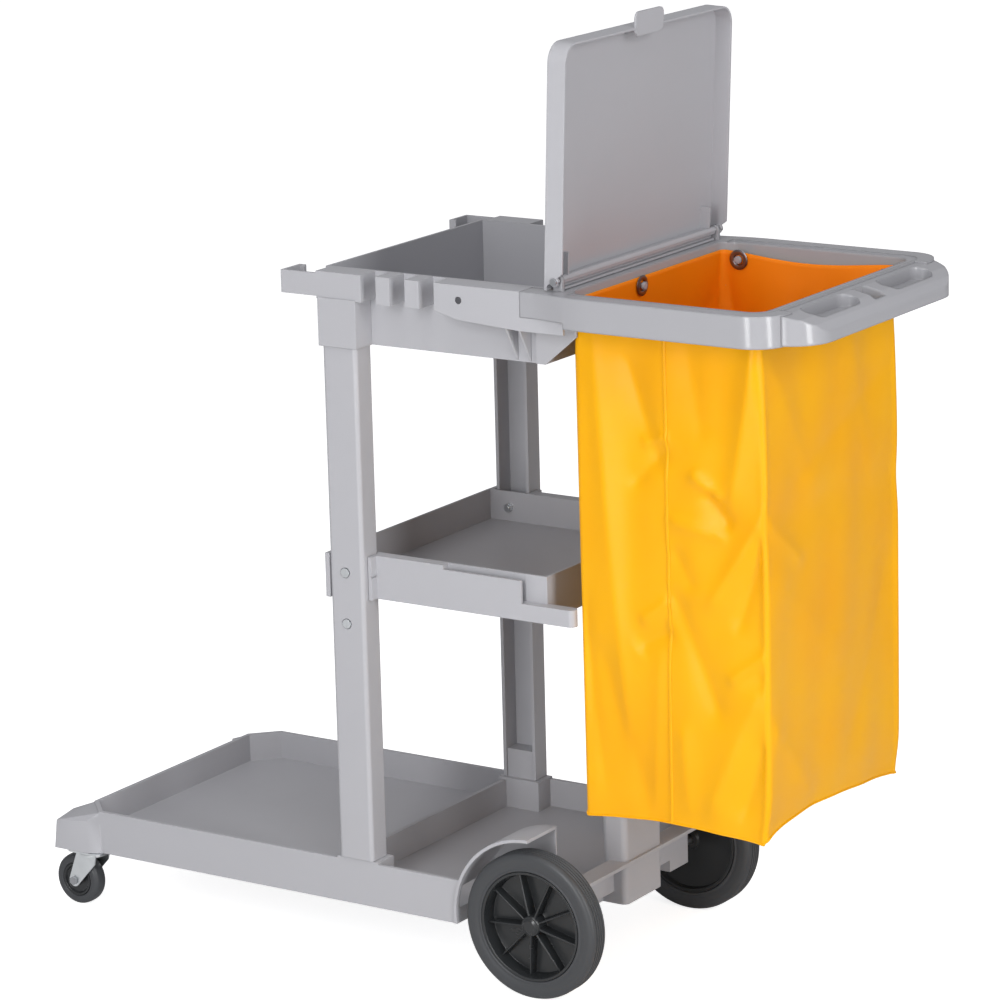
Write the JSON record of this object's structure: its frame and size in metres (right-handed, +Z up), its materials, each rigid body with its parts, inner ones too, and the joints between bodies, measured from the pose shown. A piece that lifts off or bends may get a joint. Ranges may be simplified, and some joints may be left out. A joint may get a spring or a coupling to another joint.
{
  "type": "housekeeping cart",
  "caption": "Wheeled housekeeping cart with a low base deck, a middle shelf, an upper tray, a push handle, and a hinged lid over a hanging vinyl waste bag.",
  "frame": {"origin": "on the floor, under the middle of the cart's length and width", "axes": "+X towards the push handle, -X towards the casters, +Z up; -Y is the near side"},
  "size_m": [1.2374, 0.4712, 1.3048],
  "materials": {
    "grey_plastic": "moulded, satin",
    "black_plastic": "moulded, satin",
    "tyre_rubber": "moulded rubber",
    "yellow_vinyl": "vinyl-coated cloth, low sheen",
    "zinc": "bright zinc plate",
    "steel": "plain drawn steel"
  },
  "bodies": {
    "frame": {"base_deck": "grey_plastic", "middle_shelf": "grey_plastic", "upper_tray": "grey_plastic", "bag_ring": "grey_plastic", "push_handle": "grey_plastic", "waste_bag": "yellow_vinyl", "rear_axle": "steel", "eyelet_left": "zinc", "eyelet_right_near": "zinc", "eyelet_right_far": "zinc", "eyelet_near_left": "zinc", "eyelet_far_left": "zinc", "post_near": "grey_plastic", "tray_layer_near": "grey_plastic", "tray_corner_near": "grey_plastic", "tray_tooth_left_near": "grey_plastic", "tray_tooth_right_near": "grey_plastic", "tray_arm_near": "grey_plastic", "lid_pin_near": "steel", "wheel_cap_near": "black_plastic", "caster_plate_near": "zinc", "bolt_lower_near": "zinc", "nut_lower_near": "zinc", "bolt_shelf_near": "zinc", "nut_shelf_near": "zinc", "arm_screw_near": "steel", "post_far": "grey_plastic", "tray_layer_far": "grey_plastic", "tray_corner_far": "grey_plastic", "tray_tooth_left_far": "grey_plastic", "tray_tooth_right_far": "grey_plastic", "tray_arm_far": "grey_plastic", "lid_pin_far": "steel", "wheel_cap_far": "black_plastic", "caster_plate_far": "zinc", "bolt_lower_far": "zinc", "nut_lower_far": "zinc", "bolt_shelf_far": "zinc", "nut_shelf_far": "zinc", "arm_screw_far": "steel"},
    "lid": {"lid": "grey_plastic"},
    "rear_wheel_near": {"rear_tyre_near": "tyre_rubber", "rear_hub_near": "black_plastic"},
    "rear_wheel_far": {"rear_tyre_far": "tyre_rubber", "rear_hub_far": "black_plastic"},
    "caster_swivel_near": {"caster_fork_near": "zinc", "caster_axle_near": "steel"},
    "caster_wheel_near": {"caster_core_near": "black_plastic", "caster_tyre_near": "tyre_rubber"},
    "caster_swivel_far": {"caster_fork_far": "zinc", "caster_axle_far": "steel"},
    "caster_wheel_far": {"caster_core_far": "black_plastic", "caster_tyre_far": "tyre_rubber"}
  },
  "joints": [
    {"name": "lid_hinge", "type": "hinge", "parent": "frame", "child": "lid", "pos_m": [0.24625, 0, 0.9785], "axis": [0, 1, 0], "range_deg": [-5, 87.5]},
    {"name": "rear_spin_near", "type": "hinge", "parent": "frame", "child": "rear_wheel_near", "pos_m": [0.19325, -0.2055, 0.1016], "axis": [0, 1, 0], "continuous": true},
    {"name": "rear_spin_far", "type": "hinge", "parent": "frame", "child": "rear_wheel_far", "pos_m": [0.19325, 0.2055, 0.1016], "axis": [0, 1, 0], "continuous": true},
    {"name": "caster_turn_near", "type": "hinge", "parent": "frame", "child": "caster_swivel_near", "pos_m": [-0.55725, -0.207, 0.08], "axis": [0, 0, 1], "continuous": true},
    {"name": "caster_spin_near", "type": "hinge", "parent": "caster_swivel_near", "child": "caster_wheel_near", "pos_m": [-0.58125, -0.207, 0.0375], "axis": [0, 1, 0], "continuous": true},
    {"name": "caster_turn_far", "type": "hinge", "parent": "frame", "child": "caster_swivel_far", "pos_m": [-0.55725, 0.207, 0.08], "axis": [0, 0, 1], "continuous": true},
    {"name": "caster_spin_far", "type": "hinge", "parent": "caster_swivel_far", "child": "caster_wheel_far", "pos_m": [-0.58125, 0.207, 0.0375], "axis": [0, 1, 0], "continuous": true}
  ]
}
